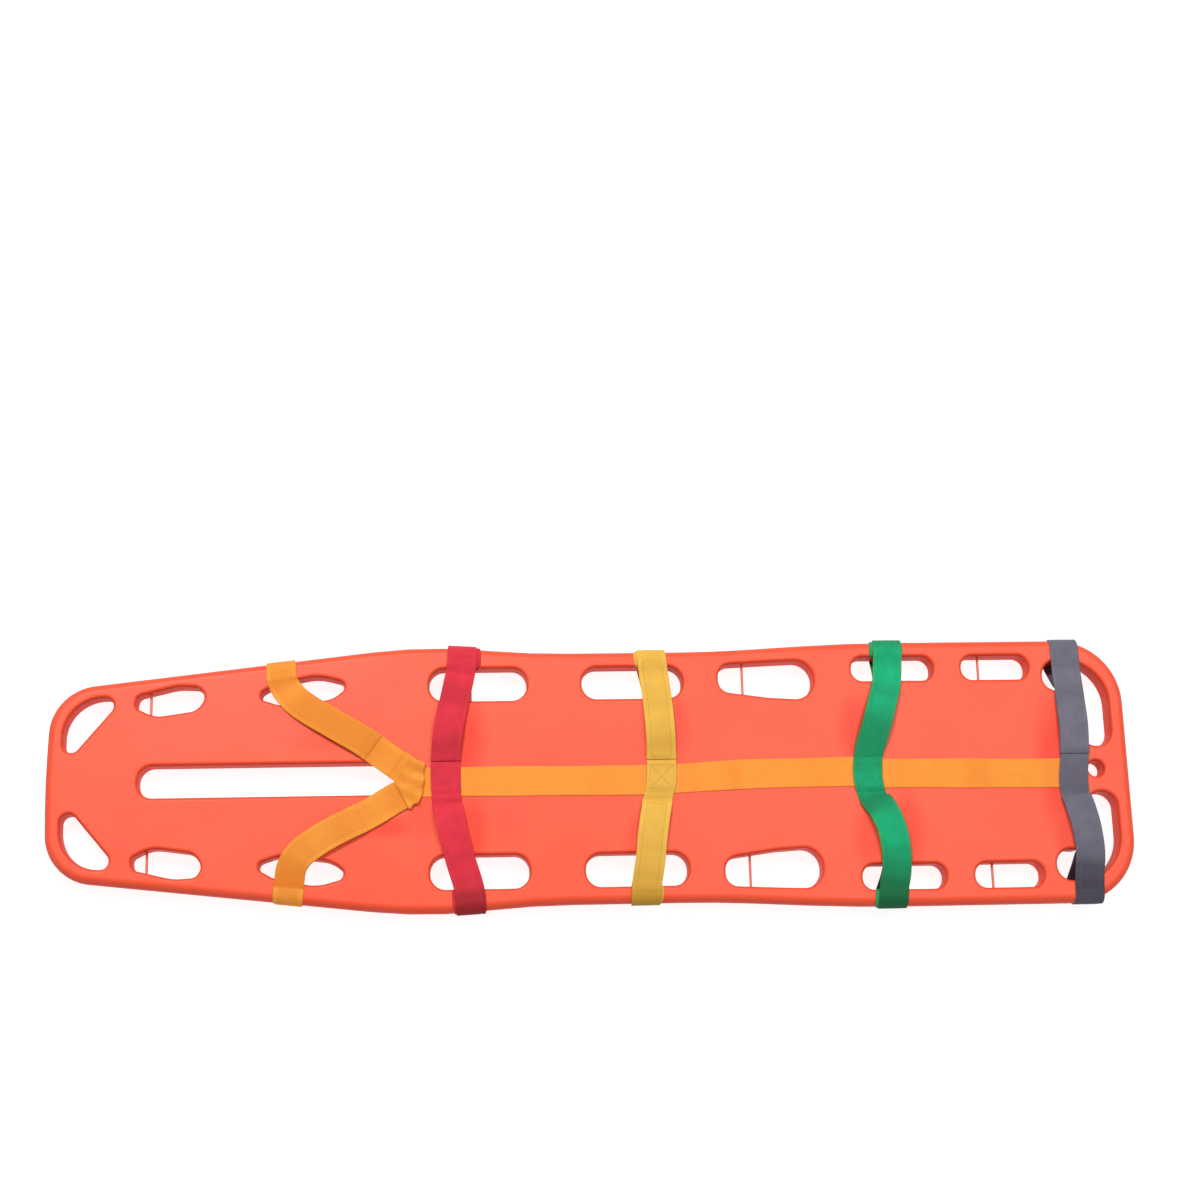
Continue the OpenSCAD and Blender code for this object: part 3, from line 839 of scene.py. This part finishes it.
def lay_cross_strap(name, number):
    """One strap across the board, down through a hole on each side and round both rails."""
    p, w = LINES[name], WAYS[name]
    top = w.mouth - 12
    crossing = p[6][0]
    middle = []
    for y in steps_down(top, -top, DECK_STEP):
        lift = crossing_lift(crossing, y) + box_lift(name, y) + hump(name, abs(y))
        middle.append(((line_x(p, y), y, DECK + WEB_T / 2 + lift), (1, -slope(p, y) * square(y), 0), WEB_W))
    round_rail = spaced(softened(way_round(w)), STEP)
    left = stations(p, w, round_rail, 1)
    right = stations(p, w, round_rail[::-1], -1)
    band = Ribbon(left + middle + right, slack(0.25, number))
    band.face_up(len(left) + 5)
    strap = band.build(name + " strap", WEBS[name], shade_by_y=STRAP_SHADE[name])
    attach(strap, "board")
    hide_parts(name + "_strap")
    high, low = band.where(BOXES[name][0] - 3), band.where(BOXES[name][1] + 3)
    u = BOX_ROW
    runs = [((high, -u), (high, u)), ((low, -u), (low, u)), ((high, -u), (low, -u)), ((high, u), (low, u)),
            ((high, -u), (low, u)), ((high, u), (low, -u))]
    seam(name + " strap box stitching", band, runs, THREADS[name], "board")


def tail_way(name, key, side, stop):
    """From the outside of the rail, over it and in to the tail's end, in way_round's form."""
    w = WAYS[key]
    e, r = w.edge, EDGE_R + LAY
    crosses = name in LINES
    proud = WEB_T if (name, side) in FIRST_TURNS else 0.0
    way = [(e + LAY, DECK - EDGE_R, WEB_W - 4, 0.0, 1.0), (e + LAY, DECK - EDGE_R + 1, WEB_W - 4, 0.0, 1.0)]
    for a in (math.radians(d) for d in range(10, 90, 10)):
        out = e - EDGE_R + (r + 1.2 + proud) * math.cos(a)
        way.append((out, DECK - EDGE_R + (r + proud) * math.sin(a), WEB_W - 2 * math.cos(a) ** 3, 0.0, 1.0))
    near = w.turn if crosses else w.turn + 16
    pressed_from = w.mouth - (12 if crosses else 24)
    way += [
        (e - EDGE_R, HINGE_Z + proud, WEB_W, 0.0, 1.0),
        (near + 5, HINGE_Z + proud, WEB_W, 0.0, 0.6),
        (near - 9, HINGE_Z - 1.6, WEB_W, 0.0, 0.3),
        (near - 20, HINGE_Z - 0.4, WEB_W, 0.0, 0.2),
        (pressed_from, STACK_Z, WEB_W, 0.0, 0.0),
        (stop + 10, STACK_Z, WEB_W, 0.0, 0.0),
        (stop, DECK + (1.9 if crosses else 1.3) * WEB_T, WEB_W + 1, 0.0, 0.0),
    ]
    return [(d, z + (hump(key, d) if d < w.mouth else 0.0), wide, dx, tilt)
            for d, z, wide, dx, tilt in spaced(softened(spaced(way, 14.0)), STEP)]


def lay_tapes(name, key, word, p, side, stop):
    """The hook tape under a tail, which peels off with it, and the loop tape on the strap below."""
    w = WAYS[key]
    start = w.mouth - (12 if name in LINES else 24)
    way = [d for d in range(int(stop + 12), int(start - 1), 3)][::-1]
    for tape, z, material, body, slot in (
            ("hook", STACK_Z - WEB_T / 2 - PATCH_T / 2, HOOK, name + "_flap_" + word, "hook"),
            ("loop", DECK + WEB_T + PATCH_T / 2, LOOPS[name], "board", "web_" + name)):
        strip = Ribbon(stations(p, w, [(d, z + hump(key, d), PATCH_W, 0.0, 0.0) for d in way], side))
        strip.face_up(-1)
        piece = strip.build(name + " " + tape + " tape " + word, material, thick=PATCH_T)
        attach(piece, body)
        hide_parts(name + "_" + tape + "_" + word)


def lay_first_turn(name, word, p, w, side):
    """The first turn of a strap round its rail, which stays there when the tail is peeled off."""
    dx = FIRST_TURNS[name, side]
    e, r = w.edge, EDGE_R + LAY
    turn = [(e + LAY, DECK - EDGE_R - 4, WEB_W - 8, dx * 0.6, 1.0)]
    for a in (math.radians(d) for d in range(0, 91, 9)):
        out, z = e - EDGE_R + r * math.cos(a), DECK - EDGE_R + r * math.sin(a)
        turn.append((out, z, WEB_W - 5 * math.cos(a) ** 3, dx, 1.0))
    turn += [
        (w.turn + 6, DECK + LAY, WEB_W, dx, 1.0),
        (w.turn + 1.5, DECK - 0.3, WEB_W - 2, dx, 1.0),
        (w.turn - 1.5, DECK - 6, WEB_W - 6, dx * 0.8, 1.0),
        (w.turn - 2, DECK - 20, WEB_W - 14, dx * 0.5, 1.0),
    ]
    band = Ribbon(stations(p, w, spaced(softened(turn), STEP), side))
    band.face_up(len(band.up) // 2)
    # painted shade on the first turn, deepening as it goes down into the hole
    shade_by_y = [(side * e, 0.25), (side * (w.turn + 3), 0.4), (side * (w.turn - 4), 1)]
    piece = band.build(name + " strap first turn " + word, WEBS[name], shade_by_y=shade_by_y)
    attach(piece, "board")


def lay_tail(name, side, number):
    """A strap's end, folded back over the rail on to its own strap, with what it is held by."""
    word = "left" if side > 0 else "right"
    key = name if name in LINES else name + " " + word
    p = LINES[name] if name in LINES else (SHOULDER_LEFT if side > 0 else SHOULDER_RIGHT)
    w = WAYS[key]
    e = w.edge
    stop = TAIL_ENDS[name][0 if side > 0 else 1]
    band = Ribbon(stations(p, w, tail_way(name, key, side, stop), side), quilted(0.35, 0.22, number + side))
    band.face_up(-1)
    body = name + "_flap_" + word
    tail = band.build(name + " strap tail " + word, WEBS[name], shade_by_y=STRAP_SHADE[name])
    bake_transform(tail)
    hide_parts(name + "_tail_" + word)
    lay_tapes(name, key, word, p, side, stop)
    if (name, side) in FIRST_TURNS:
        lay_first_turn(name, word, p, w, side)
    first, last = band.where(side * (e - EDGE_R - 2)), band.run[-1] - 4
    runs = [((first, -ROW), (last, -ROW)), ((first, ROW), (last, ROW)), ((first, -ROW), (first, ROW)),
            ((last, -ROW), (last, ROW))]
    seam(name + " strap tail stitching " + word, band, runs, THREADS[name], body)


def lay_shoulder(side, p, stop, lift):
    """A shoulder strap from its rail to its end. lift raises it where it lies on other webbing."""
    word = "left" if side > 0 else "right"
    w = WAYS["shoulder " + word]
    middle = []
    for d in steps_down(w.mouth - 12, stop, DECK_STEP):
        y = side * d
        z = DECK + WEB_T / 2 + lift(y) + hump("shoulder " + word, d)
        middle.append(((line_x(p, y), y, z), (1, -slope(p, y), 0), WEB_W))
    round_rail = stations(p, w, spaced(softened(way_round(w)), STEP), side)
    band = Ribbon(round_rail + middle, slack(0.3, 4 + side))
    band.face_up(-5)
    strap = band.build("shoulder strap " + word, WEBS["shoulder"], shade_by_y=STRAP_SHADE["shoulder"])
    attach(strap, "board")
    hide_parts("shoulder_strap_" + word)


def lay_junction():
    """The folded end of the spine strap, stitched over the two shoulder straps where they meet."""
    # (X, Y) down its two long sides
    head_side = [(-313, 34), (-327, 12), (-341, -9), (-329, -30), (-317, -53)]
    foot_side = [(-290, 25), (-291, 10), (-291, -6), (-293, -22), (-300, -41)]
    rows, columns = 32, 12

    def rim_point(points, t):
        k = min(int(t * 4), 3)
        a, b = Vector(points[k]), Vector(points[k + 1])
        return a.lerp(b, t * 4 - k)

    points, uvs, faces = [], [], []
    for face in (1, -1):
        for i in range(rows + 1):
            t = i / rows
            a, b = rim_point(head_side, t), rim_point(foot_side, t)
            for k in range(columns + 1):
                u = k / columns
                spot = a.lerp(b, u)
                ragged = 0.7 * u * math.sin(17 * t) + 1.4 * ease((t - 0.8) * 5) * math.sin(9 * u)
                pleat = 1.6 * ease(u * 2) * math.sin(t * 13 + 0.6) * (0.5 + 0.5 * t)
                crease = -1.2 * math.exp(-((spot.y + 9) / 2.2) ** 2)
                half_thick = WEB_T / 2 * (0.5 if i in (0, rows) else 1)
                height = DECK + 3.4 * WEB_T + pleat + crease + face * half_thick
                points.append(Vector((spot.x + ragged, spot.y - ragged * 0.6, height)))
                uvs.append((spot.y / WEB_W, spot.x / WEB_W))
    wide = columns + 1
    other = (rows + 1) * wide
    for i in range(rows):
        for k in range(columns):
            a = i * wide + k
            faces.append((a, a + wide, a + wide + 1, a + 1))
            faces.append((other + a, other + a + 1, other + a + wide + 1, other + a + wide))
    rim = list(range(wide)) + [i * wide + columns for i in range(1, rows + 1)]
    rim += [rows * wide + k for k in range(columns - 1, -1, -1)]
    rim += [i * wide for i in range(rows - 1, 0, -1)]
    for a, b in zip(rim, rim[1:] + rim[:1]):
        faces.append((a, b, other + b, other + a))
    mesh = bpy.data.meshes.new("strap junction")
    mesh.from_pydata([p * MM for p in points], [], faces)
    layer = mesh.uv_layers.new(name="webbing")
    for loop in mesh.loops:
        layer.data[loop.index].uv = uvs[loop.vertex_index]
    # painted shade over the folded junction, in soft waves
    mesh.attributes.new("fold_shade", "FLOAT", "POINT").data.foreach_set(
        "value", [0.35 + 0.3 * math.sin(p.y / 4.3 + p.x / 9.0) for p in points])
    mesh.shade_smooth()
    mesh.materials.append(WEBS["shoulder"])
    piece = put("strap junction", mesh)
    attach(piece, "board")


def lay_hem():
    """The left shoulder strap's own end, turned under once and sewn beside the junction."""
    p = SHOULDER_LEFT
    hem = Ribbon([((line_x(p, y), y, DECK + 2.5 * WEB_T + 0.5), (1, -slope(p, y), 0), WEB_W + 1.5)
                  for y in (23, 20, 17, 14, 11, 8)])
    hem.face_up(2)
    # an even painted shade over the turned-under hem
    piece = hem.build("shoulder strap left hem", WEBS["shoulder"], shade_by_y=[(0, 0.3), (1, 0.3)])
    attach(piece, "board")


def lay_spine_strap():
    """The strap down the board's middle, under the four cross straps."""
    band = Ribbon([((x, along(SPINE, x), DECK + WEB_T / 2), (0, -1, 0), WEB_W + 0.7 * math.sin(x / 31))
                   for x in range(-318, 845, 3)], slack(0.12, 9))
    strap = band.build("spine strap", WEBS["spine"])
    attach(strap, "board")
    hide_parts("spine_strap")


for order, strap_name in enumerate(LINES):
    lay_cross_strap(strap_name, order)
for order, strap_name in enumerate(["shoulder"] + list(LINES)):
    for side in (1, -1):
        lay_tail(strap_name, side, order)
lay_shoulder(1, SHOULDER_LEFT, 4, lambda y: WEB_T * (1 - ease((y - 38) / 16)))
lay_shoulder(-1, SHOULDER_RIGHT, 21, lambda y: WEB_T * 1.6 * ease((y + 66) / 16))
lay_junction()
lay_hem()
lay_spine_strap()


# ---- floor, light and camera -------------------------------------------------------------------

def pale_floor():
    """Opal acrylic light table: matt white, even and faintly lit from below, so its shadows are pale."""
    material, tree = fresh("studio floor, white")
    shader = add(tree, "BsdfPrincipled",
                 {"Base Color": linear("#909090"), "Roughness": 0.9, "Specular IOR Level": 0.1,
                  "Emission Color": linear("#FFFFFF"), "Emission Strength": 0.88})
    add(tree, "OutputMaterial", links={"Surface": shader.outputs[0]})
    return material


floor_mesh = bpy.data.meshes.new("studio floor")
floor_mesh.from_pydata([(-6, -6, 0), (6, -6, 0), (6, 6, 0), (-6, 6, 0)], [], [(0, 1, 2, 3)])
floor_mesh.materials.append(pale_floor())
floor = put("studio floor", floor_mesh)


def lamp(name, place, aim, size, power):
    """A round soft box, in metres and watts."""
    light = bpy.data.lights.new(name, "AREA")
    light.shape = "DISK"
    light.size = size
    light.energy = power
    thing = bpy.data.objects.new(name, light)
    thing.location = place
    thing.rotation_euler = (Vector(aim) - Vector(place)).to_track_quat("-Z", "Y").to_euler()
    bpy.context.collection.objects.link(thing)


lamp("soft box over the head", (-1.2, 1.8, 3.6), (0, 0, 0), 1.2, 100)
lamp("soft box over the feet", (1.6, 0.9, 3.8), (0, 0, 0), 1.8, 54)

world = bpy.data.worlds.new("studio")
bpy.context.scene.world = world
world.use_nodes = True
world.node_tree.nodes["Background"].inputs[0].default_value = (1, 1, 1, 1)
world.node_tree.nodes["Background"].inputs[1].default_value = 0.38

bpy.context.scene.view_settings.view_transform = "Standard"

camera_data = bpy.data.cameras.new("camera")
camera_data.sensor_width = 36
camera_data.lens = 60.97
camera = bpy.data.objects.new("camera", camera_data)
turn = (Matrix.Rotation(math.radians(14.06), 4, "X") @ Matrix.Rotation(math.radians(-3.83), 4, "Y")
        @ Matrix.Rotation(math.radians(-0.48), 4, "Z"))
camera.matrix_world = Matrix.Translation(Vector((-234.8, -514.6, 3398.7)) * MM) @ turn
bpy.context.collection.objects.link(camera)
bpy.context.scene.camera = camera
